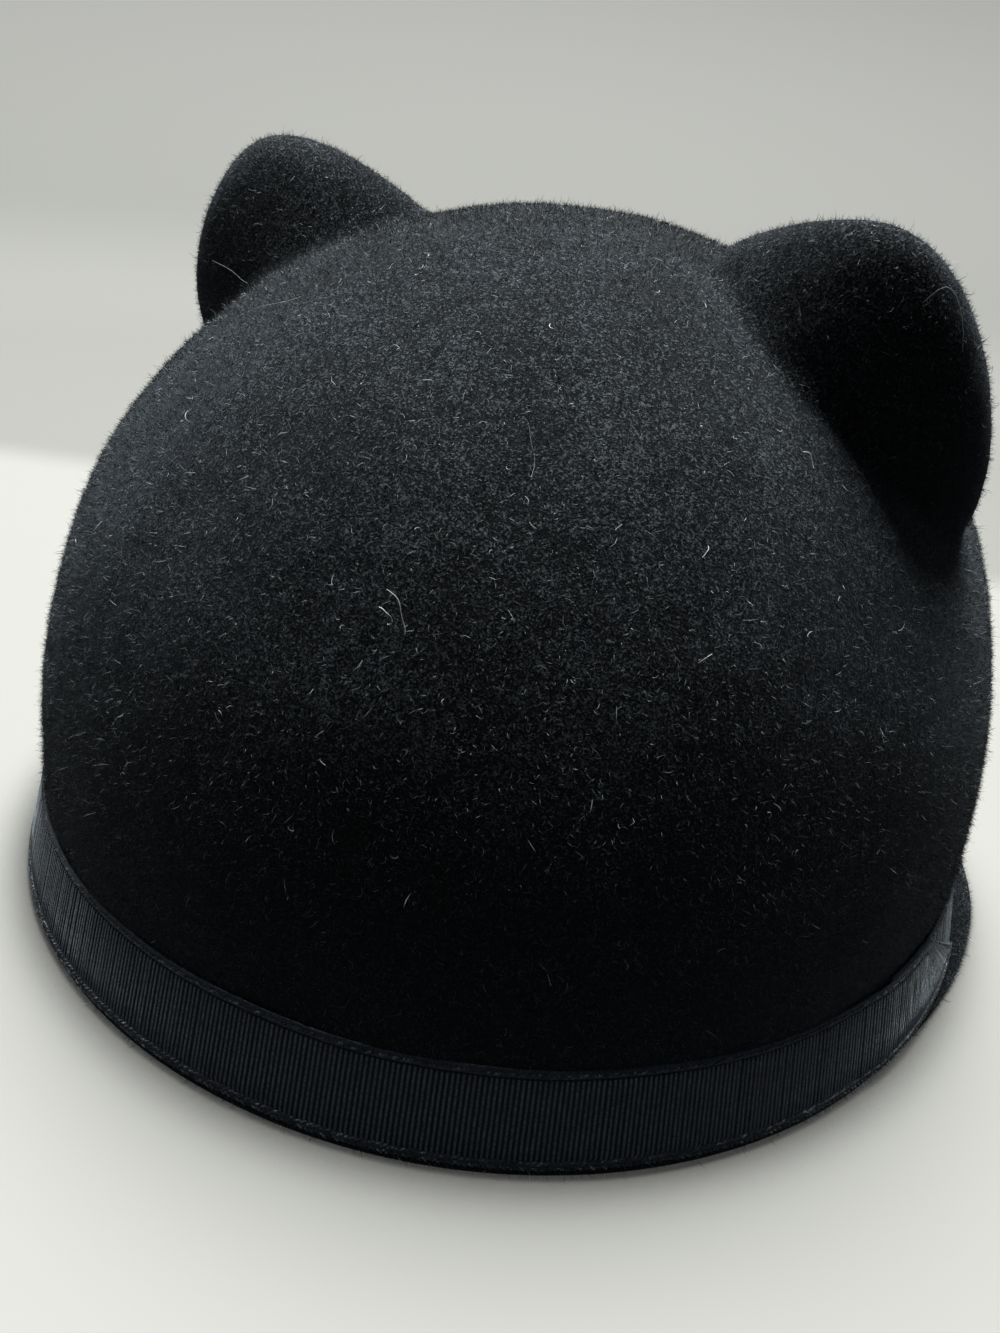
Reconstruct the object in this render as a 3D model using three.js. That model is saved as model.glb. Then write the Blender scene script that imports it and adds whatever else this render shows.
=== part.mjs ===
// A blocked wool-felt riding cap with two ears and a ribbon band, built as the felt body and the ribbon.
// Millimetres. +Z is up, the peak points to -Y, and the cap stands on z = 0,
// with the middle of its box over the origin.

import * as THREE from 'three';

// Crown block: an oval dome over the band, measured on the outside of the felt.
const HALF_WIDTH = 90.8;          // at the top edge of the band, across
const HALF_LENGTH = 95.8;         // at the top edge of the band, front to back
const CROWN_HEIGHT = 123.8;       // top of the dome, between the ears
const OVAL_POWER = 2.03;          // roundness of the oval seen from above
const OUT_POWER = 1.96;           // roundness of the dome's side, outward
const UP_POWER = 2.49;            // roundness of the dome's side, upward
const FELT = 2.2;                 // thickness of the felt

// Wall under the band, the raw edge below it, and the brim that grows into the peak.
const BAND_TOP = 17.5;
const FOOT_HEIGHT = 2.6;          // where the wall ends and the raw edge begins
const WALL_FLARE = 3.2;           // how far the foot stands out from the band's top edge
const LIP = 0.4;                  // how far the raw edge stands out from the foot all round
const EDGE_ROUNDING = 0.3;
const EDGE_FLAT = 2.0;            // width of the flat underside that touches the table
const SIDE_BRIM = 6.6;            // brim beside the head, beyond the lip
const SIDE_BRIM_START = 112;      // degrees from the front where the brim begins
const SIDE_BRIM_FULL = 66;
const PEAK_REACH = 31.5;          // peak at the front, beyond the side brim
const PEAK_SPREAD = 72;           // degrees from the front where the peak ends
const PEAK_LIFT = 5;              // how far the foot rises over the middle of the peak
const LIFT_SPREAD = 70;

// Ears, blocked out of the same felt. Each is a tent over the dome: a crest that runs across it,
// and a rear and a front face whose feet are arches. Its angles are measured at a fore-and-aft
// axis inside the crown, in degrees above the horizontal.
const EAR = {
  axisHeight: 50,
  outerFoot: 20,
  outerRise: 1.04,                // mm of height for each degree, from the outer foot
  outerEasing: 0.0074,            // how the outer rise slackens, mm for each square degree
  innerRise: 1.53,
  crestBlend: 7.2,
  frontFoot: -11,                 // middle of the front face's foot, from the crown's middle
  frontSlope: 1.9,                // mm of height for each mm fore and aft
  faceBlend: 7.9,                 // rounding where the faces and the crest meet
  footFillet: 3,
};
// The two ears were worked by hand and differ a little. The one on the wearer's right leans
// further back, so its rear face is the steeper.
const RIGHT_EAR = {
  innerFoot: 74.5,
  rearFoot: 28.4,                 // middle of the rear face's foot, from the crown's middle
  rearSlope: 1.25,
  arch: 0.030,                    // how the feet curve in, mm for each square degree
  archMiddle: 47.5,
  lean: 0.85,                     // backward lean for each mm of height
};
const LEFT_EAR = {
  innerFoot: 71.5,
  rearFoot: 27.2,
  rearSlope: 1.6,
  arch: 0.034,
  archMiddle: 47,
  lean: 0.374,
};

// Ribbon band: one strip round the wall, its ends lapped on the wearer's right.
const RIBBON_THICKNESS = 0.5;
const RIBBON_GAP = 0.3;
const RIBBON_BOTTOM = 2.9;
const RIBBON_OVER_TOP = 0.1;      // how far the strip reaches over the line where the dome begins
const LAP_END = 183;              // degrees, counter-clockwise from +X, of the tip of the end that shows
const LAP_ANGLE = 23;             // overlap along the strip's lower edge
const LAP_SLANT = 13.7;           // the end is cut on a slant: its upper corner lies this much back
const LAP_SLANT_START = 320;      // degrees along the strip where its cross-lines begin to slant
const LAP_RAMP = 5;               // how long the strip takes to climb on to its own start

const COLUMNS = 72;
const DOME_ROWS = 22;
const BRIM_ROWS = 2;
const RIBBON_STATIONS = 76;
const RIBBON_ROWS = 3;
const COLUMN_CROWDING = 0.35;     // draws the columns together at the ears

const FELT_MATERIAL = { color: 0x141518, roughness: 0.95, metalness: 0 };
const RIBBON_MATERIAL = { color: 0x1c1d20, roughness: 0.7, metalness: 0 };

const radians = THREE.MathUtils.degToRad;
const degrees = THREE.MathUtils.radToDeg;
const signedPower = (value, power) => Math.sign(value) * Math.abs(value) ** power;

// 0 beyond `spread` degrees from the front, rising smoothly to 1 at the front.
const frontShare = (fromFront, spread) =>
  (1 + Math.cos(Math.PI * Math.min(fromFront / spread, 1))) / 2;

// Degrees between a direction, given counter-clockwise from +X in radians, and the front.
const angleFromFront = (turn) => degrees(Math.acos(-Math.sin(turn)));

const brimWidth = (turn) => {
  const fromFront = angleFromFront(turn);
  const side = 1 - THREE.MathUtils.smoothstep(fromFront, SIDE_BRIM_FULL, SIDE_BRIM_START);
  return SIDE_BRIM * side + PEAK_REACH * frontShare(fromFront, PEAK_SPREAD);
};

const footLift = (turn) => PEAK_LIFT * frontShare(angleFromFront(turn), LIFT_SPREAD);

const FRONT_REACH = HALF_LENGTH + WALL_FLARE + LIP + SIDE_BRIM + PEAK_REACH;
const REAR_REACH = HALF_LENGTH + WALL_FLARE + RIBBON_GAP + RIBBON_THICKNESS;
const CROWN_CENTRE = new THREE.Vector3(0, (FRONT_REACH - REAR_REACH) / 2, 0);

// Point on the oval at the band's top edge, seen from above.
const ovalPoint = (turn) => new THREE.Vector2(
  HALF_WIDTH * signedPower(Math.cos(turn), 2 / OVAL_POWER),
  HALF_LENGTH * signedPower(Math.sin(turn), 2 / OVAL_POWER),
);

// Outward direction of that oval, as that of the ellipse with the same axes.
const ovalNormal = (turn) => new THREE.Vector2(
  Math.cos(turn) / HALF_WIDTH,
  Math.sin(turn) / HALF_LENGTH,
).normalize();

// A point `out` millimetres outside the oval at height z, about the crown's centre.
const wallPoint = (turn, out, z) => {
  const plan = ovalPoint(turn).addScaledVector(ovalNormal(turn), out);
  return new THREE.Vector3(plan.x, plan.y, z).add(CROWN_CENTRE);
};

// The smaller of two heights, with a rounded change from one to the other.
const softLesser = (first, second, blend) => (
  (first + second - Math.hypot(first - second, blend)) / 2
);

// Height of an ear over the dome at a dome point, about the crown's centre.
const earHeight = (ear, y, angle) => {
  const fromOuter = angle - EAR.outerFoot;
  const outer = EAR.outerRise * fromOuter - EAR.outerEasing * Math.max(fromOuter, 0) ** 2;
  const inner = EAR.innerRise * (ear.innerFoot - angle);
  const crest = softLesser(outer, inner, EAR.crestBlend);
  const inward = ear.arch * (angle - ear.archMiddle) ** 2;
  const rear = ear.rearSlope * (ear.rearFoot - inward - y);
  const front = EAR.frontSlope * (y - EAR.frontFoot - inward);
  const tent = softLesser(softLesser(rear, front, EAR.faceBlend), crest, EAR.faceBlend);
  const fillet = Math.max(EAR.footFillet - Math.abs(tent), 0) ** 2 / (4 * EAR.footFillet);
  return Math.max(tent, 0) + fillet;
};

// Outer felt surface: `rise` goes from 0 at the band's top edge to a quarter turn at the dome's top.
const domePoint = (turn, rise) => {
  const plan = ovalPoint(turn).multiplyScalar(Math.cos(rise) ** (2 / OUT_POWER));
  const base = BAND_TOP + footLift(turn);
  const z = base + (CROWN_HEIGHT - base) * Math.sin(rise) ** (2 / UP_POWER);
  const across = Math.atan2(z - EAR.axisHeight, Math.abs(plan.x));
  const ear = plan.x < 0 ? RIGHT_EAR : LEFT_EAR;
  const height = earHeight(ear, plan.y, degrees(across));
  return new THREE.Vector3(
    plan.x + Math.sign(plan.x) * height * Math.cos(across),
    plan.y + height * ear.lean,
    z + height * Math.sin(across),
  ).add(CROWN_CENTRE);
};

const STEP = 1e-3;
const domeNormal = (turn, rise) => {
  const around = domePoint(turn + STEP, rise).sub(domePoint(turn - STEP, rise));
  const upward = domePoint(turn, rise + STEP).sub(domePoint(turn, Math.max(rise - STEP, 0)));
  return around.cross(upward).normalize();
};

// The felt from the band's top edge on the outside, round the brim's edge, to the same height inside:
// pairs of distance outside the oval and height.
const rimSection = (turn) => {
  const lift = footLift(turn);
  const edge = WALL_FLARE + LIP + brimWidth(turn);
  const middle = [WALL_FLARE / 2, (BAND_TOP + FOOT_HEIGHT) / 2 + lift];
  const topRoot = [WALL_FLARE + LIP - EDGE_ROUNDING, FELT + 0.1 + lift];
  const topEdge = [edge - EDGE_ROUNDING, FELT - EDGE_ROUNDING];
  const flatInner = [edge - EDGE_ROUNDING - EDGE_FLAT, 0];
  const bottomRoot = [WALL_FLARE - FELT + 0.1, lift];
  const between = (from, to) => Array.from({ length: BRIM_ROWS }, (_, i) => {
    const share = (i + 1) / (BRIM_ROWS + 1);
    return [from[0] + (to[0] - from[0]) * share, from[1] + (to[1] - from[1]) * share];
  });
  return [
    middle,
    [WALL_FLARE, FOOT_HEIGHT + lift],
    topRoot,
    ...between(topRoot, topEdge),
    topEdge,
    [edge, FELT / 2],
    [edge - EDGE_ROUNDING, 0],
    flatInner,
    ...between(flatInner, bottomRoot),
    bottomRoot,
    [WALL_FLARE - FELT, FOOT_HEIGHT + lift],
    [middle[0] - FELT, middle[1]],
  ];
};

// A closed body from rings of equal length: each ring joins the next, and a pole point closes each end.
const closedBody = (firstPole, rings, lastPole) => {
  const count = rings[0].length;
  const points = [firstPole, ...rings.flat(), lastPole];
  const last = points.length - 1;
  const index = [];
  for (let column = 0; column < count; column++) {
    const next = (column + 1) % count;
    index.push(0, 1 + column, 1 + next);
    for (let row = 0; row < rings.length - 1; row++) {
      const a = 1 + row * count + column;
      const b = 1 + row * count + next;
      index.push(a, a + count, b + count, a, b + count, b);
    }
    const ring = 1 + (rings.length - 1) * count;
    index.push(ring + column, last, ring + next);
  }
  const geometry = new THREE.BufferGeometry().setFromPoints(points);
  geometry.setIndex(index);
  return geometry;
};

const makeFeltBody = () => {
  const turns = Array.from({ length: COLUMNS }, (_, i) => {
    const even = (2 * Math.PI * i) / COLUMNS;
    return even - (COLUMN_CROWDING / 2) * Math.sin(2 * even);
  });
  const rises = Array.from({ length: DOME_ROWS }, (_, i) => (Math.PI / 2) * (1 - (i + 1) / DOME_ROWS));
  const inside = (turn, rise) => domePoint(turn, rise).addScaledVector(domeNormal(turn, rise), -FELT);
  const outerDome = rises.map((rise) => turns.map((turn) => domePoint(turn, rise)));
  const innerDome = rises.map((rise) => turns.map((turn) => inside(turn, rise))).reverse();
  const sections = turns.map(rimSection);
  const rim = sections[0].map((_, row) =>
    turns.map((turn, column) => wallPoint(turn, ...sections[column][row])));
  const top = new THREE.Vector3(0, 0, CROWN_HEIGHT).add(CROWN_CENTRE);
  const ceiling = new THREE.Vector3(0, 0, CROWN_HEIGHT - FELT).add(CROWN_CENTRE);
  return closedBody(top, [...outerDome, ...rim, ...innerDome], ceiling);
};

// Point of the ribbon `gone` degrees along it from its start, `share` of the way up its width
// and `depth` millimetres into its thickness.
const ribbonPoint = (gone, share, depth) => {
  const turn = radians(LAP_END - LAP_ANGLE + gone);
  const onTop = THREE.MathUtils.smoothstep(gone, 359.5 - LAP_RAMP, 359.5) * (RIBBON_THICKNESS + RIBBON_GAP);
  const height = THREE.MathUtils.lerp(RIBBON_BOTTOM, BAND_TOP + RIBBON_OVER_TOP, share);
  return wallPoint(turn, WALL_FLARE * (1 - share) + RIBBON_GAP + onTop + depth, height + footLift(turn));
};

// The strip starts under its other end, goes once round the cap and finishes on top of its start.
const makeRibbon = () => {
  const sweep = 360 + LAP_ANGLE;
  const shares = Array.from({ length: RIBBON_ROWS + 1 }, (_, i) => i / RIBBON_ROWS);
  const stations = Array.from({ length: RIBBON_STATIONS }, (_, i) => {
    const gone = (sweep * i) / (RIBBON_STATIONS - 1);
    const slant = LAP_SLANT * THREE.MathUtils.smoothstep(gone, LAP_SLANT_START, sweep);
    const face = (depth) => shares.map((share) => ribbonPoint(gone - slant * share, share, depth));
    return [...face(RIBBON_THICKNESS), ...face(0).reverse()];
  });
  const middle = (ring) => ring.reduce((sum, p) => sum.add(p), new THREE.Vector3()).divideScalar(ring.length);
  return closedBody(middle(stations[0]), stations, middle(stations[RIBBON_STATIONS - 1]));
};

const piece = (name, geometry, material) => {
  const faceted = geometry.toNonIndexed();
  faceted.computeVertexNormals();
  const mesh = new THREE.Mesh(faceted, new THREE.MeshStandardMaterial(material));
  mesh.name = name;
  return mesh;
};

const group = new THREE.Group();
group.add(piece('felt_crown', makeFeltBody(), FELT_MATERIAL));
group.add(piece('ribbon_band', makeRibbon(), RIBBON_MATERIAL));

export default group;
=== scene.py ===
import bpy
import numpy as np
from mathutils import Matrix, Vector


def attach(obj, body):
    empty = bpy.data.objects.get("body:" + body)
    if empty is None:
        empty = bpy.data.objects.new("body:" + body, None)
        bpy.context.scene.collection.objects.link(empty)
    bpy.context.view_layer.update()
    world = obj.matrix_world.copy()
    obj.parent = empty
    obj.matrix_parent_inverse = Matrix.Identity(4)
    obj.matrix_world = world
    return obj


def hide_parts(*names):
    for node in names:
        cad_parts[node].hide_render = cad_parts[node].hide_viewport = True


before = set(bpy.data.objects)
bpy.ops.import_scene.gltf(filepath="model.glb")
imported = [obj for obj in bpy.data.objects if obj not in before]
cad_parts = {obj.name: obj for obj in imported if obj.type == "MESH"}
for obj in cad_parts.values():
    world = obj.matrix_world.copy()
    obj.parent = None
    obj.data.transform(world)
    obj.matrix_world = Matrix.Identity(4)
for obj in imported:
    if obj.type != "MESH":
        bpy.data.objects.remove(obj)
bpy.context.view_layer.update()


# ---------------------------------------------------------------------------------------------
# Felt crown. A thick wool-felt hood, steamed and pulled over a block with two ears, then cut
# level round the foot. One piece of felt makes the dome, the ears, the wall, the brim and the
# short peak. Lengths here are millimetres, and the mesh maker turns them into metres.

HALF_WIDTH, HALF_LENGTH, CROWN_HEIGHT = 90.8, 95.8, 123.8
OVAL_POWER, OUT_POWER, UP_POWER = 2.03, 1.96, 2.49
FELT = 2.2
BAND_TOP, FOOT_HEIGHT = 17.5, 2.6
WALL_FLARE, LIP = 3.2, 0.05
SIDE_BRIM, PEAK_REACH, PEAK_LIFT = 6.6, 31.5, 5.0
BRIM_NARROWS_AT, BRIM_ENDS_AT, PEAK_SPREAD, LIFT_SPREAD = 66.0, 112.0, 72.0, 70.0
CROWN_CENTRE = np.array([0.0, 18.85, 0.0])

# the ears' shared sizes: degrees round the fore-and-aft axis, then millimetres
EAR_AXIS, EAR_OUTER_FOOT, EAR_CREST_BLEND = 50.0, 20.0, 7.2
EAR_OUTER_RISE, EAR_OUTER_EASING, EAR_INNER_RISE = 1.04, 0.0074, 1.53
EAR_FRONT_FOOT, EAR_FRONT_SLOPE, EAR_FACE_BLEND, EAR_FILLET = -11.0, 1.9, 7.9, 3.0
# where the two were worked differently: the wearer's right ear, then the left
INNER_FOOT, ARCH, ARCH_MIDDLE = (74.5, 71.5), (0.030, 0.034), (47.5, 47.0)
REAR_FOOT, REAR_SLOPE, BACKWARD_LEAN = (28.4, 27.2), (1.25, 1.6), (0.85, 0.374)

# the felt's unevenness: wavelength, depth and seed
SWELL, RIPPLE = (34.0, 0.16, 3), (9.0, 0.035, 4)

TURNS, DOME_ROWS, WALL_ROWS, BRIM_ROWS, INNER_ROWS = 480, 120, 6, 5, 34
EAR_CROWDING = 0.175


def signed_power(value, power):
    """The value's size raised to a power, with its sign kept."""
    return np.sign(value) * np.abs(value) ** power


def smooth_rise(value, low, high):
    """0 below low and 1 above high, with a smooth S between: 3 t squared less 2 t cubed."""
    t = np.clip((value - low) / (high - low), 0.0, 1.0)
    return t * t * (3.0 - 2.0 * t)


def from_front(turn):
    """Degrees between a direction, counter-clockwise from +X in radians, and the peak."""
    return np.degrees(np.arccos(np.clip(-np.sin(turn), -1.0, 1.0)))


def front_share(turn, spread):
    """A raised cosine: 1 at the peak, 0 from `spread` degrees away."""
    return (1.0 + np.cos(np.pi * np.minimum(from_front(turn) / spread, 1.0))) / 2.0


def brim_width(turn):
    """A narrow brim beside the head, none behind it, plus the peak's raised cosine."""
    side = 1.0 - smooth_rise(from_front(turn), BRIM_NARROWS_AT, BRIM_ENDS_AT)
    return SIDE_BRIM * side + PEAK_REACH * front_share(turn, PEAK_SPREAD)


def foot_lift(turn):
    """How far the foot of the wall rises over the peak: a raised cosine."""
    return PEAK_LIFT * front_share(turn, LIFT_SPREAD)


def wall_point(turn, out, height):
    """A superellipse at the band's top edge, moved `out` along its outward direction."""
    x = HALF_WIDTH * signed_power(np.cos(turn), 2.0 / OVAL_POWER)
    y = HALF_LENGTH * signed_power(np.sin(turn), 2.0 / OVAL_POWER)
    nx, ny = np.cos(turn) / HALF_WIDTH, np.sin(turn) / HALF_LENGTH
    size = np.hypot(nx, ny)
    x, y, height = np.broadcast_arrays(x + out * nx / size, y + out * ny / size, height)
    return np.stack([x, y, height], axis=-1) + CROWN_CENTRE


def soft_lesser(first, second, blend):
    """The smaller of two heights: half of their sum less the hypotenuse of their difference
    and the blend."""
    return (first + second - np.hypot(first - second, blend)) / 2.0


def of_ear(pair, x):
    """The right ear's number where x is negative, and the left ear's elsewhere."""
    return np.where(x < 0.0, pair[0], pair[1])


def ear_height(x, y, angle):
    """A tent over the dome: its crest runs across, and its rear and front faces stand on feet
    that curve in as parabolas. The two ears were worked by hand and differ a little. Another
    parabola fills the fold where the ear meets the dome."""
    out = angle - EAR_OUTER_FOOT
    crest = soft_lesser(EAR_OUTER_RISE * out - EAR_OUTER_EASING * np.maximum(out, 0.0) ** 2,
                        EAR_INNER_RISE * (of_ear(INNER_FOOT, x) - angle), EAR_CREST_BLEND)
    inward = of_ear(ARCH, x) * (angle - of_ear(ARCH_MIDDLE, x)) ** 2
    rear = of_ear(REAR_SLOPE, x) * (of_ear(REAR_FOOT, x) - inward - y)
    front = EAR_FRONT_SLOPE * (y - EAR_FRONT_FOOT - inward)
    tent = soft_lesser(soft_lesser(rear, front, EAR_FACE_BLEND), crest, EAR_FACE_BLEND)
    fillet = np.maximum(EAR_FILLET - np.abs(tent), 0.0) ** 2 / (4.0 * EAR_FILLET)
    return np.maximum(tent, 0.0) + fillet


def uneven(points, wavelength, depth, seed):
    """A sum of sixteen sine waves of random direction and phase: the felt's soft unevenness."""
    random = np.random.default_rng(seed)
    ways = random.normal(size=(16, 3))
    ways /= np.linalg.norm(ways, axis=1, keepdims=True)
    ways *= (2.0 * np.pi / wavelength) * random.uniform(0.6, 1.5, size=(16, 1))
    phase = random.uniform(0.0, 2.0 * np.pi, 16)
    return depth * np.sin(points @ ways.T + phase).sum(axis=-1) / np.sqrt(8.0)


def dome_point(turn, rise):
    """The oval shrinks as a power of cos(rise) while the height grows as a power of sin(rise);
    each ear then stands out along a fan about its own fore-and-aft axis."""
    shrink = np.abs(np.cos(rise)) ** (2.0 / OUT_POWER)
    x = HALF_WIDTH * signed_power(np.cos(turn), 2.0 / OVAL_POWER) * shrink
    y = HALF_LENGTH * signed_power(np.sin(turn), 2.0 / OVAL_POWER) * shrink
    base = BAND_TOP + foot_lift(turn)
    z = base + (CROWN_HEIGHT - base) * np.abs(np.sin(rise)) ** (2.0 / UP_POWER)
    across = np.arctan2(z - EAR_AXIS, np.abs(x))
    height = ear_height(x, y, np.degrees(across))
    lean = height * of_ear(BACKWARD_LEAN, x)
    place = np.stack([x + np.sign(x) * height * np.cos(across), y + lean,
                      z + height * np.sin(across)], axis=-1)
    return place + CROWN_CENTRE


def facing(grid):
    """Outward direction at each grid point: the cross product of its two neighbours' spans."""
    around = np.roll(grid, -1, axis=1) - np.roll(grid, 1, axis=1)
    down = np.gradient(grid, axis=0)
    normal = np.cross(down, around)
    return normal / np.maximum(np.linalg.norm(normal, axis=-1, keepdims=True), 1e-9)


def make_mesh(name, points, quads=(), triangles=()):
    """A smooth-shaded mesh object from points in millimetres and arrays of corner numbers."""
    corners = np.concatenate([np.ravel(quads), np.ravel(triangles)]).astype(np.int32)
    sizes = np.concatenate([np.full(len(quads), 4), np.full(len(triangles), 3)]).astype(np.int32)
    mesh = bpy.data.meshes.new(name)
    mesh.vertices.add(len(points))
    mesh.vertices.foreach_set("co", (np.asarray(points) * 0.001).astype(np.float32).ravel())
    mesh.loops.add(len(corners))
    mesh.loops.foreach_set("vertex_index", corners)
    mesh.polygons.add(len(sizes))
    starts = np.concatenate([[0], np.cumsum(sizes)[:-1]]).astype(np.int32)
    mesh.polygons.foreach_set("loop_start", starts)
    mesh.polygons.foreach_set("use_smooth", np.ones(len(sizes), bool))
    mesh.update(calc_edges=True)
    mesh.validate()
    piece = bpy.data.objects.new(name, mesh)
    bpy.context.scene.collection.objects.link(piece)
    return piece


def ring_quads(rows, columns):
    """Corner numbers that join each ring of a grid to the next, closed round the columns."""
    row, column = np.meshgrid(np.arange(rows - 1), np.arange(columns), indexing="ij")
    after = (column + 1) % columns
    low, high = row * columns, (row + 1) * columns
    return np.stack([low + column, high + column, high + after, low + after], -1).reshape(-1, 4)


def end_fans(rows, columns):
    """Triangles that close the first and last ring of a grid round two points, which stand
    after the grid's own points."""
    column = np.arange(columns)
    after = (column + 1) % columns
    last = (rows - 1) * columns
    return np.concatenate([
        np.stack([np.full(columns, rows * columns), column, after], -1),
        np.stack([last + column, np.full(columns, rows * columns + 1), last + after], -1)])


# directions round the crown, drawn closer together at the sides, where the ears stand
turns = 2.0 * np.pi * np.arange(TURNS) / TURNS
turns = turns - EAR_CROWDING * np.sin(2.0 * turns)
rises = (np.pi / 2.0) * (1.0 - np.arange(1, DOME_ROWS + 1) / DOME_ROWS)
outer_dome = dome_point(turns[None, :], rises[:, None])

lift, reach = foot_lift(turns), WALL_FLARE + LIP + brim_width(turns)
share = (np.arange(1, WALL_ROWS + 1) / WALL_ROWS)[:, None]
wall = wall_point(turns, WALL_FLARE * share, BAND_TOP + (FOOT_HEIGHT - BAND_TOP) * share + lift)
share = np.linspace(0.0, 1.0, BRIM_ROWS)[:, None]
root, edge = WALL_FLARE + LIP - 0.3, reach - 0.3
brim_top = wall_point(turns, root + (edge - root) * share,
                      FELT + 0.1 + lift + (-0.25 - lift) * share)
cut_out = np.array([-0.1, 0.0, 0.0, -0.1, -0.35])
cut_height = np.array([FELT - 0.35, FELT - 0.8, 0.7, 0.2, 0.0])
rim = wall_point(turns, reach + cut_out[:, None], cut_height[:, None])
root, edge = WALL_FLARE - FELT + 0.1, reach - FELT - 0.1
brim_under = wall_point(turns, edge + (root - edge) * share, lift * share)
share = np.linspace(0.0, 1.0, 3)[:, None]
inner_wall = wall_point(turns, (WALL_FLARE - FELT) * (1.0 - share) - FELT * share * 0.98,
                        FOOT_HEIGHT + (BAND_TOP - FOOT_HEIGHT) * share + lift)

outer = np.concatenate([outer_dome, wall, brim_top, rim])
outer_facing = facing(outer)
bumps = uneven(outer, *SWELL) + uneven(outer, *RIPPLE)
quiet_at_foot = smooth_rise(outer[..., 2:3], 1.0, 6.0)
outer = outer + outer_facing * bumps[..., None] * quiet_at_foot
inner_rises = np.linspace(0.02, np.pi / 2.0 - 0.03, INNER_ROWS)
inner_dome = dome_point(turns[None, :], inner_rises[:, None])
inner_dome = inner_dome + facing(inner_dome) * FELT
body = np.concatenate([outer, brim_under, inner_wall, inner_dome])
poles = np.array([[0.0, 0.0, CROWN_HEIGHT], [0.0, 0.0, CROWN_HEIGHT - FELT]]) + CROWN_CENTRE
felt_crown = make_mesh("felt_crown_blocked", np.concatenate([body.reshape(-1, 3), poles]),
                       ring_quads(len(body), TURNS), end_fans(len(body), TURNS))


class Value:
    """A number or colour in a material. Sums, products and the like add their Math nodes."""

    def __init__(self, finish, socket):
        self.finish, self.socket = finish, socket

    def maths(self, operation, first, second=0.0):
        """A Math node on one or two numbers."""
        return self.finish.node("ShaderNodeMath", {"operation": operation}, {0: first, 1: second})

    def __add__(self, other):
        return self.maths("ADD", self, other)

    def __sub__(self, other):
        return self.maths("SUBTRACT", self, other)

    def __rsub__(self, other):
        return self.maths("SUBTRACT", other, self)

    def __mul__(self, other):
        return self.maths("MULTIPLY", self, other)

    __radd__, __rmul__ = __add__, __mul__


class Finish:
    """One material, built a node at a time."""

    def __init__(self, name):
        self.material = bpy.data.materials.new(name)
        self.material.use_nodes = True
        self.tree = self.material.node_tree
        self.tree.nodes.clear()

    def node(self, kind, settings=None, sockets=None, output=0):
        """Adds a node: its settings first, then a value or a link for each named socket."""
        made = self.tree.nodes.new(kind)
        for key, value in (settings or {}).items():
            if key == "stops":
                ramp = made.color_ramp.elements
                while len(ramp) < len(value):
                    ramp.new(0.5)
                for stop, (place, colour) in zip(ramp, value):
                    stop.position, stop.color = place, colour
            else:
                setattr(made, key, value)
        for key, value in (sockets or {}).items():
            if isinstance(value, Value):
                self.tree.links.new(value.socket, made.inputs[key])
            else:
                made.inputs[key].default_value = value
        return Value(self, made.outputs[output])

    def noise(self, place, scale, detail, roughness, distortion=0.0):
        """Cloudy noise between 0 and 1, with `scale` cells to the metre."""
        return self.node("ShaderNodeTexNoise", {}, {
            "Vector": place, "Scale": scale, "Detail": detail, "Roughness": roughness,
            "Distortion": distortion})

    def mix(self, share, first, second):
        """The first colour where the share is 0, the second where it is 1."""
        return self.node("ShaderNodeMix", {"data_type": "RGBA"}, {0: share, 6: first, 7: second}, 2)

    def between(self, value, low, high, to_low=0.0, to_high=1.0):
        """A smooth S from to_low, where the value is low, up to to_high."""
        return self.node("ShaderNodeMapRange", {"interpolation_type": "SMOOTHSTEP"}, {
            0: value, 1: low, 2: high, 3: to_low, 4: to_high})

    def close(self, surface):
        """Joins the shader to the material's output."""
        end = self.tree.nodes.new("ShaderNodeOutputMaterial")
        self.tree.links.new(surface.socket, end.inputs["Surface"])
        return self.material


WOOL_SHADOW, WOOL_GREY = (0.0008, 0.0011, 0.0015, 1.0), (0.078, 0.092, 0.099, 1.0)
WOOL_SHEEN = (0.72, 0.86, 1.0, 1.0)

felt = Finish("wool_felt")
here = felt.node("ShaderNodeTexCoord", {}, {}, "Object")
fine = felt.noise(here, 2900.0, 2.0, 0.6, 0.6)
tuft = felt.noise(here, 1250.0, 2.0, 0.6, 1.2)
cloud = felt.noise(here, 60.0, 3.0, 0.6)
nap = fine * 0.6 + tuft * 0.4
tone = felt.between(nap + (cloud - 0.5) * 0.12, 0.49, 0.66)
felt_colour = felt.mix(tone, WOOL_SHADOW, WOOL_GREY)
felt_bump = felt.node("ShaderNodeBump", {}, {
    "Strength": 1.0, "Distance": 0.0004, "Height": nap})
felt_material = felt.close(felt.node("ShaderNodeBsdfPrincipled", {}, {
    "Base Color": felt_colour, "Roughness": 0.95, "Specular IOR Level": 0.10,
    "Sheen Weight": 0.10, "Sheen Roughness": 0.5, "Sheen Tint": WOOL_SHEEN,
    "Normal": felt_bump}))
felt_crown.data.materials.append(felt_material)
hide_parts("felt_crown")
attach(felt_crown, "root")


# ---------------------------------------------------------------------------------------------
# Nap. The wool's own fibre ends, brushed up and left standing on the outside of the felt: a
# close short nap everywhere, and longer curled hairs among it. Each hair is a thin blade.

NAP_HAIRS, LONG_HAIRS = 188000, 62000
NAP_SEED, LONG_SEED = 11, 29
ROOT_DEPTH, FLOOR_CLEARANCE = 0.05, 0.05


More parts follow.
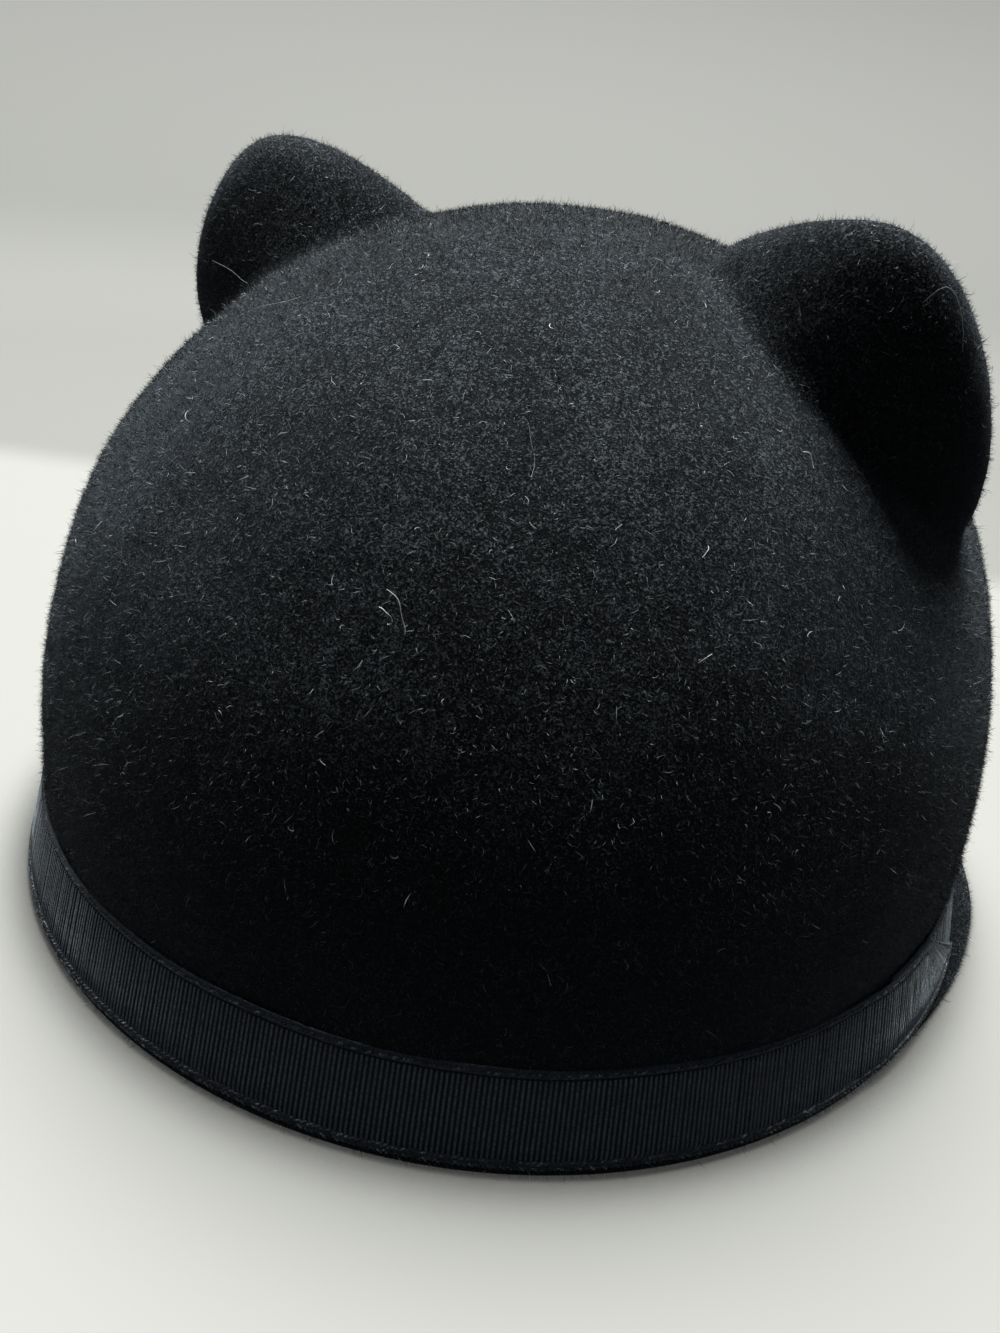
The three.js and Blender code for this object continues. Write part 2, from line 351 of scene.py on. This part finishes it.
def scatter(count, random):
    """Places on the felt's outside, spread evenly by area: a cell is drawn by its area, and a
    place inside it by two even shares. Gives the places and the directions outwards there."""
    grid, away = outer, outer_facing
    right, below = np.roll(grid, -1, axis=1), np.roll(grid, -1, axis=0)
    area = np.linalg.norm(np.cross(right - grid, below - grid), axis=-1)[:-1]
    area[DOME_ROWS - 1:DOME_ROWS + WALL_ROWS] = 0.0  # none under the ribbon
    chance = np.cumsum(area.ravel() / area.sum())
    cell = np.minimum(np.searchsorted(chance, random.random(count)), area.size - 1)
    row, col = np.divmod(cell, TURNS)
    col_after = (col + 1) % TURNS
    s, t = random.random((2, count, 1))

    def blend(values):
        """The cell's four corners weighed by the two shares."""
        return ((values[row, col] * (1 - s) + values[row, col_after] * s) * (1 - t)
                + (values[row + 1, col] * (1 - s) + values[row + 1, col_after] * s) * t)

    return blend(grid), blend(away)


def unit(vectors):
    """Each vector divided by its own length."""
    return vectors / np.maximum(np.linalg.norm(vectors, axis=-1, keepdims=True), 1e-9)


def lying(away, random):
    """A random direction in the surface at each place, and the one square to it."""
    along = unit(np.cross(away, random.normal(size=away.shape)))
    return along, np.cross(away, along)


def shade_each(piece, shades):
    """Gives every hair or yarn its own shade, as a number on its corners."""
    corners_each = len(piece.data.vertices) // len(shades)
    attribute = piece.data.attributes.new("shade", "FLOAT", "POINT")
    attribute.data.foreach_set("value", np.repeat(shades, corners_each).astype(np.float32))


wool = Finish("wool_hairs")
shade = wool.node("ShaderNodeAttribute", {"attribute_name": "shade"}, {}, "Fac")
wool_colour = wool.node("ShaderNodeValToRGB", {"stops": [
    (0.0, WOOL_SHADOW), (0.58, (0.010, 0.012, 0.015, 1.0)),
    (0.82, (0.15, 0.178, 0.188, 1.0)), (0.985, (0.34, 0.38, 0.38, 1.0)),
    (1.0, (0.72, 0.73, 0.70, 1.0))]}, {0: shade})
wool_material = wool.close(wool.node("ShaderNodeBsdfPrincipled", {}, {
    "Base Color": wool_colour, "Roughness": 0.6, "Specular IOR Level": 0.12,
    "Sheen Weight": 0.04, "Sheen Roughness": 0.5, "Sheen Tint": WOOL_SHEEN}))


def fibres(name, corners, shades, quads=(), triangles=()):
    """A piece made of separate fibres: an array of fibres by corners by three, with a shade
    for each fibre."""
    corners[..., 2] = np.maximum(corners[..., 2], FLOOR_CLEARANCE)
    piece = make_mesh(name, corners.reshape(-1, 3), quads, triangles)
    shade_each(piece, shades)
    piece.data.materials.append(wool_material)
    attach(piece, "root")


for number in range(2):
    random = np.random.default_rng(NAP_SEED + number)
    root_place, away = scatter(NAP_HAIRS, random)
    along, _ = lying(away, random)
    stand = np.radians(random.uniform(8.0, 78.0, (NAP_HAIRS, 1)))
    length = random.uniform(0.45, 1.2, (NAP_HAIRS, 1))
    width = random.uniform(0.05, 0.09, (NAP_HAIRS, 1))
    way = along * np.cos(stand) + away * np.sin(stand)
    side = unit(np.cross(way, random.normal(size=way.shape))) * width
    foot = root_place - away * ROOT_DEPTH
    corners = np.stack([foot - side / 2, foot + side / 2, foot + way * length], axis=1)
    fibres(f"felt_nap_{number + 1}", corners, random.random(NAP_HAIRS) ** 1.3,
           triangles=np.arange(3 * NAP_HAIRS).reshape(-1, 3))

random = np.random.default_rng(LONG_SEED)
root_place, away = scatter(LONG_HAIRS, random)
along, square = lying(away, random)
stand = np.radians(5.0 + 75.0 * random.random((LONG_HAIRS, 1)) ** 1.3)
length = 0.9 + 1.5 * random.random((LONG_HAIRS, 1)) ** 3
width = random.uniform(0.05, 0.08, (LONG_HAIRS, 1))
curl = random.uniform(-0.9, 0.9, (LONG_HAIRS, 1))
way = along * np.cos(stand) + away * np.sin(stand)
bend_way = unit(way + square * curl - away * random.uniform(-0.2, 0.5, (LONG_HAIRS, 1)))
side = unit(np.cross(way, away + 0.4 * random.normal(size=way.shape))) * width
foot = root_place - away * ROOT_DEPTH
knee = foot + way * length * 0.55
tip = knee + bend_way * length * 0.5
corners = np.stack([foot - side / 2, foot + side / 2, knee + side * 0.4, knee - side * 0.4, tip], 1)
first = 5 * np.arange(LONG_HAIRS)[:, None]
fibres("felt_long_hairs", corners, random.random(LONG_HAIRS) ** 1.1,
       quads=first + np.array([[0, 1, 2, 3]]), triangles=first + np.array([[3, 2, 4]]))


# ---------------------------------------------------------------------------------------------
# Lint. Pale fibres that have settled on the dark felt: fifteen long ones, each curled over its
# own part of the crown, and a few hundred short curls caught in the nap.

LINT_STEPS, CURL_STEPS, SHORT_CURLS, LINT_SEED = 10, 6, 420, 41
LONG_WIDTH, CURL_WIDTH, LINT_CLEARANCE = 0.08, 0.075, 0.2


def lint_mesh(name, lines, width, random):
    """Thin strips along the given lines of places, one line a row, each strip twisting as it
    goes."""
    lines = np.maximum(lines, [-np.inf, -np.inf, LINT_CLEARANCE])
    along = unit(np.gradient(lines, axis=1))
    side = unit(np.cross(along, unit(lines - CROWN_CENTRE) + 0.5 * random.normal(
        size=(len(lines), 1, 3)))) * width / 2.0
    corners = np.stack([lines - side, lines + side], axis=2)
    count, steps = lines.shape[:2]
    start = 2 * (steps * np.arange(count)[:, None] + np.arange(steps - 1)[None, :]).ravel()
    fibres(name, corners, random.uniform(0.975, 1.0, count),
           quads=start[:, None] + np.array([[0, 1, 3, 2]]))


random = np.random.default_rng(LINT_SEED)
step = np.linspace(0.0, 1.0, LINT_STEPS)
lines = []
# where each long fibre starts and ends on the crown (turn and rise in degrees), and its bow
for turn_a, rise_a, turn_b, rise_b, bow in (
        (108, 47.3, 110.5, 42, 0.7), (99, 31, 101.5, 28, 0.5), (98.6, 29.5, 100.2, 28.7, 0.2),
        (103.8, 35.5, 104.8, 34.3, 0.3), (165, 54.4, 169, 50.2, 4.2), (160.5, 50, 164.4, 49.3, 0.6),
        (18, 47.5, 25.3, 50, 0.5), (63, 39.5, 66.6, 38.8, -1.6), (128.6, 28.3, 130.2, 29.1, 0.2),
        (51, 49, 60.3, 54.2, 0.4), (145.5, 45.8, 146.5, 44.2, 0.5), (129.3, 36.5, 130, 37.6, 0.4),
        (250, 40, 253, 46, 0.9), (330, 35, 336, 37, 0.6), (205, 33, 207, 39, 1.1)):
    wiggle = 0.03 * np.hypot(turn_b - turn_a, rise_b - rise_a)
    bend = bow * np.sin(np.pi * step) + wiggle * np.sin(9.0 * step + 7.0 * random.random())
    turn = np.radians(turn_a + (turn_b - turn_a) * step + bend)
    rise = np.radians(rise_a + (rise_b - rise_a) * step + 0.5 * bend)
    place = dome_point(turn, rise)
    lines.append(place + unit(place - CROWN_CENTRE) * (0.7 + 0.25 * np.sin(5.0 * step))[:, None])
lint_mesh("lint_long", np.stack(lines), LONG_WIDTH, random)

root_place, away = scatter(SHORT_CURLS, random)
along, square = lying(away, random)
size = random.uniform(0.5, 1.7, (SHORT_CURLS, 1))
curl = random.uniform(0.3, 3.2, (SHORT_CURLS, 1))
lines = np.stack([
    root_place + away * (0.35 + 0.3 * s) + size * (
        along * np.sin(curl * s) / curl + square * (1.0 - np.cos(curl * s)) / curl)
    for s in np.linspace(0.0, 1.0, CURL_STEPS)], axis=1)
lint_mesh("lint_curls", lines, CURL_WIDTH, random)


# ---------------------------------------------------------------------------------------------
# Ribbon band. Corded ribbon, 15 mm wide, with cross ribs and a bound edge on each side, sewn
# flat round the wall. It starts under its own end, and the end is cut on a slant.

RIB_PITCH, RIB_DEPTH, STATIONS_EACH = 0.78, 0.26, 4
RIBBON_THICKNESS, RIBBON_GAP = 0.42, 0.10
RIBBON_BOTTOM, RIBBON_TOP, RIBBON_HANG = 2.9, 17.6, 1.0
# degrees: where the upper end lies, how far the ends lap, how far the cut slants, where the
# ribbon climbs on to its own start, and over what run its ribs give way to rough yarn by the cut
LAP_END, LAP_ANGLE, LAP_SLANT = 183.0, 23.0, 13.7
CLIMB_START, CLIMB_END, CRUSH_START, CRUSH_END = 354.5, 359.5, -14.0, 2.0
CORNER_LIFT, RIBBON_SEED = 0.35, 7


def ribbon_point(gone, share, depth):
    """The strip `gone` degrees from its start, `share` up its width and `depth` off the felt:
    it follows the sloping wall, hangs a little lower where there is no brim, wanders as sewn
    work does (the sum of two sine waves), and climbs on to its own start."""
    turn = np.radians(LAP_END - LAP_ANGLE + gone)
    over = smooth_rise(gone, CLIMB_START, CLIMB_END) * (RIBBON_THICKNESS + RIBBON_GAP)
    bottom = RIBBON_BOTTOM - RIBBON_HANG * smooth_rise(from_front(turn), 100.0, 125.0)
    sway = 0.10 * np.sin(gone / 7.3) + 0.07 * np.sin(gone / 2.9 + 1.0)
    height = bottom + (RIBBON_TOP - bottom) * share + foot_lift(turn) + sway
    return wall_point(turn, WALL_FLARE * (1.0 - share) + RIBBON_GAP + over + depth, height)


# how far round the ribbon has gone, in degrees, against how far along it is, in millimetres
sweep = 360.0 + LAP_ANGLE
trial = np.linspace(0.0, sweep, 4001)
path = ribbon_point(trial, 0.5, 0.2)
run = np.concatenate([[0.0], np.cumsum(np.linalg.norm(np.diff(path, axis=0), axis=1))])
ribbon_length = run[-1]
ribs = int(ribbon_length / RIB_PITCH)
stations = STATIONS_EACH * ribs + 1
gone = np.interp(np.linspace(0.0, ribbon_length, stations), run, trial)[:, None]

# across the face, bottom to top: the two selvages stand apart from the ribs by a sunk line
across = np.array([0.0, 0.3, 1.15, 1.45, 1.7, 5.0, 9.0, 12.6, 13.3, 13.5, 13.75, 14.5, 14.7])
relief = np.array([-0.2, -0.02, -0.02, -0.16, 0.0, 0.0, 0.0, 0.0, 0.0, -0.2, -0.05, -0.05, -0.2])
ribbed = np.array([0.0, 0.1, 0.1, 0.4, 1.0, 1.0, 1.0, 1.0, 1.0, 0.4, 0.1, 0.0, 0.0])
shares = across[None, :] / across[-1]
back_shares = shares[:, ::-6]
face_columns, back_columns = slice(0, len(across)), slice(len(across), None)

# the last stations crowd up to the slanted cut, while the ribs still run square across
cut = sweep - LAP_SLANT * np.concatenate([shares, back_shares], axis=1)
level = sweep - LAP_SLANT - 1.0
squeeze = np.clip((gone - level) / (sweep - level), 0.0, 1.0)
place = np.minimum(gone, level) + squeeze * (cut - level)
along_mm = np.interp(place, trial, run)
ribs_gone = along_mm[:, face_columns] * (ribs / ribbon_length)
random = np.random.default_rng(RIBBON_SEED)
uneven_rib = 1.0 + 0.2 * random.normal(size=ribs + 1)[np.minimum(ribs_gone.astype(int), ribs)]
rib = np.abs(np.sin(np.pi * ribs_gone)) ** 0.7 * uneven_rib
crushed = smooth_rise(gone, level + CRUSH_START, level + CRUSH_END)
spacing = np.gradient(along_mm[:, face_columns], axis=0) * (stations - 1) / ribbon_length
rib = random.random(rib.shape) * spacing * crushed + rib * (1.0 - crushed)
corner = smooth_rise(place - cut, -5.0, 0.0)[:, face_columns] * smooth_rise(shares, 0.75, 1.0)
depth = RIBBON_THICKNESS + relief + RIB_DEPTH * (rib - 0.6) * ribbed + CORNER_LIFT * corner
face = ribbon_point(place[:, face_columns], shares, depth)
back = ribbon_point(place[:, back_columns], back_shares, 0.0)
strip = np.concatenate([face, back], axis=1)
rows, columns = strip.shape[:2]
ends = np.stack([strip[0].mean(axis=0), strip[-1].mean(axis=0)])
ribbon_band = make_mesh("ribbon_band_corded", np.concatenate([strip.reshape(-1, 3), ends]),
                        ring_quads(rows, columns), end_fans(rows, columns))

# the flat ribbon as the weave's own map, in metres along and across
across_mm = np.tile(np.concatenate([across, back_shares[0] * across[-1]]), rows)
flat_place = np.stack([np.append(along_mm.ravel(), [0.0, ribbon_length]),
                       np.append(across_mm, [7.0, 7.0])], -1) * 0.001
layer = ribbon_band.data.uv_layers.new(name="flat")
loops = np.zeros(len(ribbon_band.data.loops), np.int32)
ribbon_band.data.loops.foreach_get("vertex_index", loops)
layer.data.foreach_set("uv", flat_place[loops].astype(np.float32).ravel())

CORD_SHADOW, CORD_PALE = (0.0008, 0.001, 0.0014, 1.0), (0.49, 0.545, 0.60, 1.0)
CORD_SHEEN = (0.76, 0.86, 0.92, 1.0)

cord = Finish("corded_ribbon")
flat = cord.node("ShaderNodeUVMap", {"uv_map": "flat"}, {})
along = cord.node("ShaderNodeSeparateXYZ", {}, {0: flat}, 0)
up = cord.node("ShaderNodeSeparateXYZ", {}, {0: flat}, 1)
here = cord.node("ShaderNodeTexCoord", {}, {}, "Object")
yarn = cord.noise(here, 3200.0, 2.0, 0.65)
patch = cord.noise(here, 420.0, 3.0, 0.6)
rib_wave = cord.node("ShaderNodeMath", {"operation": "ABSOLUTE"}, {0: cord.node(
    "ShaderNodeMath", {"operation": "SINE"}, {
        0: (along + (patch - 0.5) * 0.00012) * (1000.0 * np.pi * ribs / ribbon_length)})})
ribbed_part = cord.between(up, 0.0011, 0.0015) * cord.between(up, 0.0135, 0.0137, 1.0, 0.0)
# painted highlight and painted shade: the colour is pale on each rib's crest and dark in the
# grooves between, over the ribs' own relief
crest = cord.between(rib_wave, 0.54, 0.98) * ribbed_part + (1.0 - ribbed_part) * 0.3
# the colour goes to black along the sunk line below the top selvage
from_line = cord.node("ShaderNodeMath", {"operation": "ABSOLUTE"}, {0: up - 0.0135})
sunk_line = cord.between(from_line, 0.00006, 0.00018)
tone = crest * sunk_line * cord.between(yarn, 0.34, 0.66, 0.35, 1.0) * (patch * 0.9 + 0.55)
ribbon_colour = cord.mix(tone, CORD_SHADOW, CORD_PALE)
ribbon_bump = cord.node("ShaderNodeBump", {}, {
    "Strength": 0.8, "Distance": 0.00015, "Height": yarn})
ribbon_material = cord.close(cord.node("ShaderNodeBsdfPrincipled", {}, {
    "Base Color": ribbon_colour, "Roughness": 0.5, "Specular IOR Level": 0.06,
    "Sheen Weight": 1.0, "Sheen Roughness": 0.22, "Sheen Tint": CORD_SHEEN,
    "Normal": ribbon_bump}))
ribbon_band.data.materials.append(ribbon_material)
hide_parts("ribbon_band")
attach(ribbon_band, "root")


# ---------------------------------------------------------------------------------------------
# Ribbon's edge yarns. The weft turns back at each side of the ribbon: along the top as one row
# of slanted loops, along the bottom as two rows that lean against each other. A row of pale
# yarn along the slanted cut end is a painted highlight on the cut edge.

LOOP_SIDES, LOOP_LENGTH, LOOP_RADIUS, YARN_SEED = 5, 1.25, 0.24, 17
# each row's place up the ribbon and off the felt, its lean in degrees and its pitch
TOP_ROW, BOTTOM_ROW, EDGE_ROW = (
    (0.957, 0.40, 19.0, 0.74), (0.068, 0.42, 26.0, 0.92), (0.012, 0.38, -26.0, 0.92))
# the pale yarns along the slanted cut: a painted highlight on the cut edge
CUT_HIGHLIGHT_YARNS, CUT_LEAN, CUT_LENGTH, CUT_RADIUS = 34, 104.0, 0.62, 0.09


def yarn_loops(gone, share, depth, lean, long, thick, random):
    """Short fat lengths of yarn. Each lies at its place on the ribbon, leaning `lean` degrees
    up from the ribbon's run, as three rings of corners closed by a point at each end."""
    middle = ribbon_point(gone, share, depth)
    run_way = unit(ribbon_point(gone + 0.2, share, depth) - middle)
    up_way = unit(ribbon_point(gone, share + 0.02, depth) - middle)
    lean = np.radians(lean + random.normal(0.0, 6.0, len(gone)))[:, None]
    axis = run_way * np.cos(lean) + up_way * np.sin(lean)
    out_way = unit(np.cross(run_way, up_way))
    side = np.cross(axis, out_way)
    long = long * random.uniform(0.85, 1.15, (len(gone), 1))
    spin = 2.0 * np.pi * np.arange(LOOP_SIDES) / LOOP_SIDES
    rings = []
    for step, fat in ((-0.32, 0.8), (0.0, 1.0), (0.32, 0.8)):
        ring = (side[:, None] * np.cos(spin)[:, None] + out_way[:, None] * np.sin(spin)[:, None])
        rings.append((middle + axis * long * step)[:, None] + ring * thick * fat)
    tips = np.stack([middle - axis * long / 2.0, middle + axis * long / 2.0], axis=1)
    return np.concatenate(rings + [tips], axis=1)


def loop_corners(count):
    """Corner numbers for a run of yarn lengths: two belts of quads and a fan at each tip."""
    spin = np.arange(LOOP_SIDES)
    after = (spin + 1) % LOOP_SIDES
    belt = np.stack([spin, after, LOOP_SIDES + after, LOOP_SIDES + spin], -1)
    quads = np.concatenate([belt, LOOP_SIDES + belt])
    low, high = 3 * LOOP_SIDES, 3 * LOOP_SIDES + 1
    fans = np.concatenate([
        np.stack([after, spin, np.full(LOOP_SIDES, low)], -1),
        np.stack([2 * LOOP_SIDES + spin, 2 * LOOP_SIDES + after, np.full(LOOP_SIDES, high)], -1)])
    start = (3 * LOOP_SIDES + 2) * np.arange(count)[:, None, None]
    return (start + quads).reshape(-1, 4), (start + fans).reshape(-1, 3)


random = np.random.default_rng(YARN_SEED)
parts = []
for share, depth, lean, pitch in (TOP_ROW, BOTTOM_ROW, EDGE_ROW):
    edge_length = np.interp(sweep - LAP_SLANT * share, trial, run)
    number = int(edge_length / pitch)
    at = np.interp((np.arange(number) + 0.5) * edge_length / number, run, trial)
    parts.append(yarn_loops(at, share + random.normal(0.0, 0.004, number), depth, lean,
                            LOOP_LENGTH, LOOP_RADIUS, random))
share = np.linspace(0.02, 0.98, CUT_HIGHLIGHT_YARNS)
depth = RIBBON_THICKNESS + 0.10 + CORNER_LIFT * smooth_rise(share, 0.75, 1.0)
parts.append(yarn_loops(sweep - 0.1 - LAP_SLANT * share, share, depth,
                        CUT_LEAN, CUT_LENGTH, CUT_RADIUS, random))
loops_made = np.concatenate(parts)
edge_yarns = make_mesh("ribbon_edge_yarns", loops_made.reshape(-1, 3),
                       *loop_corners(len(loops_made)))
shades = 0.55 + 0.42 * random.random(len(loops_made)) ** 1.5
# nearly white along the cut: the painted highlight
shades[-CUT_HIGHLIGHT_YARNS:] = 0.97
shade_each(edge_yarns, shades)

twist = Finish("ribbon_yarn")
shade = twist.node("ShaderNodeAttribute", {"attribute_name": "shade"}, {}, "Fac")
here = twist.node("ShaderNodeTexCoord", {}, {}, "Object")
strand = twist.noise(here, 3600.0, 2.0, 0.6)
twist_colour = twist.node("ShaderNodeValToRGB", {"stops": [
    (0.0, (0.002, 0.0025, 0.003, 1.0)), (0.5, (0.050, 0.057, 0.066, 1.0)),
    (0.85, (0.25, 0.275, 0.30, 1.0)), (1.0, (0.62, 0.65, 0.66, 1.0))]}, {
        0: shade * twist.between(strand, 0.35, 0.62, 0.45, 1.1)})
twist_bump = twist.node("ShaderNodeBump", {}, {
    "Strength": 0.7, "Distance": 0.0001, "Height": strand})
edge_yarns.data.materials.append(twist.close(twist.node("ShaderNodeBsdfPrincipled", {}, {
    "Base Color": twist_colour, "Roughness": 0.6, "Specular IOR Level": 0.1,
    "Sheen Weight": 0.2, "Sheen Roughness": 0.35, "Sheen Tint": (0.72, 0.84, 0.92, 1.0),
    "Normal": twist_bump})))
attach(edge_yarns, "root")


# ---------------------------------------------------------------------------------------------
# Studio. A pale floor that curves up on every side, one large soft light above and beyond the
# cap, a weak one at the wearer's left, a lamp that lights the floor alone, and the camera a
# little above the cap, behind the wearer's right shoulder. Lengths are metres.

FLOOR_RADIUS, CURVE_RADIUS, WALL_RADIUS, WALL_TOP = 0.50, 0.38, 0.98, 0.95
FLOOR_TURNS, FLOOR_RINGS = 128, 14
FLOOR_PAINT = (0.170, 0.1725, 0.160, 1.0)
# painted shade on the part beyond the cap, darker still up the curve: its direction, how far off it
# starts, and how dark it is
BEYOND, BEYOND_START, BEYOND_END = (0.396, -0.918, 0.0), 0.168, 0.202
DARK_LOW, DARK_HIGH, DARK_HEIGHT = 0.30, 0.46, 0.06

climb = np.linspace(0.08, np.pi / 2.0, FLOOR_RINGS)
bowl_radius = np.concatenate([np.linspace(0.04, FLOOR_RADIUS, FLOOR_RINGS),
                              FLOOR_RADIUS + CURVE_RADIUS * np.sin(climb), [WALL_RADIUS]])
bowl_height = np.concatenate([np.zeros(FLOOR_RINGS),
                              CURVE_RADIUS * (1.0 - np.cos(climb)), [WALL_TOP]])
bowl_turn = 2.0 * np.pi * np.arange(FLOOR_TURNS) / FLOOR_TURNS
radius, height, bowl_turn = np.broadcast_arrays(
    bowl_radius[:, None], bowl_height[:, None], bowl_turn[None, :])
bowl = np.stack([radius * np.cos(bowl_turn), radius * np.sin(bowl_turn), height], -1) * 1000.0
column = np.arange(FLOOR_TURNS)
middle = np.stack([column, (column + 1) % FLOOR_TURNS,
                   np.full(FLOOR_TURNS, FLOOR_TURNS * len(bowl))], -1)
floor = make_mesh("studio_floor", np.concatenate([bowl.reshape(-1, 3), [[0.0, 0.0, 0.0]]]),
                  ring_quads(len(bowl), FLOOR_TURNS)[:, ::-1], middle)
paint = Finish("pale_floor")
here = paint.node("ShaderNodeTexCoord", {}, {}, "Object")
beyond = paint.node("ShaderNodeVectorMath", {"operation": "DOT_PRODUCT"}, {
    0: here, 1: BEYOND}, "Value")
height = paint.node("ShaderNodeSeparateXYZ", {}, {0: here}, 2)
# painted shade: past the line the paint darkens, by 30 per cent on the floor and by 46 per cent up
# the curve
painted_shade_beyond = paint.between(beyond, BEYOND_START, BEYOND_END) * paint.between(
    height, 0.0, DARK_HEIGHT, DARK_LOW, DARK_HIGH)
# painted contact shadow: the floor's colour darkens close to the cap's foot, where the cap shelters
# it
painted_contact_shadow = paint.node("ShaderNodeAmbientOcclusion", {"samples": 6}, {"Distance": 0.014}, "AO")
shade = (1.0 - painted_shade_beyond) * paint.between(painted_contact_shadow, 0.50, 0.86, 0.10, 1.0)
floor.data.materials.append(paint.close(paint.node("ShaderNodeBsdfPrincipled", {}, {
    "Base Color": paint.mix(shade, (0.0, 0.0, 0.0, 1.0), FLOOR_PAINT),
    "Roughness": 0.7, "Specular IOR Level": 0.2})))
floor.visible_diffuse = False

sky = bpy.data.worlds.new("studio_air")
sky.use_nodes = True
nodes, links = sky.node_tree.nodes, sky.node_tree.links
direction = nodes.new("ShaderNodeTexCoord")
height = nodes.new("ShaderNodeSeparateXYZ")
glow = nodes.new("ShaderNodeMapRange")
for socket, value in (("From Min", 0.15), ("From Max", 1.0), ("To Min", 0.008), ("To Max", 0.075)):
    glow.inputs[socket].default_value = value
links.new(direction.outputs["Generated"], height.inputs[0])
links.new(height.outputs["Z"], glow.inputs["Value"])
links.new(glow.outputs["Result"], nodes["Background"].inputs["Strength"])
nodes["Background"].inputs["Color"].default_value = (0.74, 0.92, 1.24, 1.0)
bpy.context.scene.world = sky


LIT_POINT = Vector((0.0, 0.02, 0.06))


def add_light(name, kind, place, energy, size=None):
    """A lamp at a place in metres, turned to face the crown."""
    lamp = bpy.data.lights.new(name, kind)
    lamp.energy = energy
    if size:
        lamp.shape, lamp.size = "DISK", size
    stand = bpy.data.objects.new(name, lamp)
    stand.location = place
    stand.rotation_mode = "QUATERNION"
    stand.rotation_quaternion = (LIT_POINT - stand.location).to_track_quat("-Z", "Y")
    bpy.context.scene.collection.objects.link(stand)
    return stand


add_light("soft_box", "AREA", place=(0.18, -0.29, 1.17), energy=41.0, size=0.7)
add_light("fill_card", "AREA", place=(0.80, 0.65, 0.50), energy=2.2, size=0.6)
floor_lamp = add_light("floor_lamp", "SUN", place=(-0.5, 1.3, 2.0), energy=8.5)
lit_floor = bpy.data.collections.new("lit_floor")
lit_floor.objects.link(floor)
floor_lamp.light_linking.receiver_collection = lit_floor
floor_lamp.light_linking.blocker_collection = lit_floor

CAMERA_PLACE = (-0.0800, 0.21715, 0.1354)
ahead = Vector((0.358, -0.829, -0.430)).normalized()
right = Vector((-0.887, -0.446, 0.120))
right = (right - ahead * right.dot(ahead)).normalized()
camera = bpy.data.cameras.new("camera")
camera.lens, camera.sensor_width = 30.5, 36.0
camera.clip_start, camera.clip_end = 0.01, 20.0
camera_stand = bpy.data.objects.new("camera", camera)
camera_stand.matrix_world = Matrix.Translation(CAMERA_PLACE) @ Matrix(
    (right, right.cross(ahead), -ahead)).transposed().to_4x4()
bpy.context.scene.collection.objects.link(camera_stand)
bpy.context.scene.camera = camera_stand
bpy.context.scene.view_settings.view_transform = "Standard"
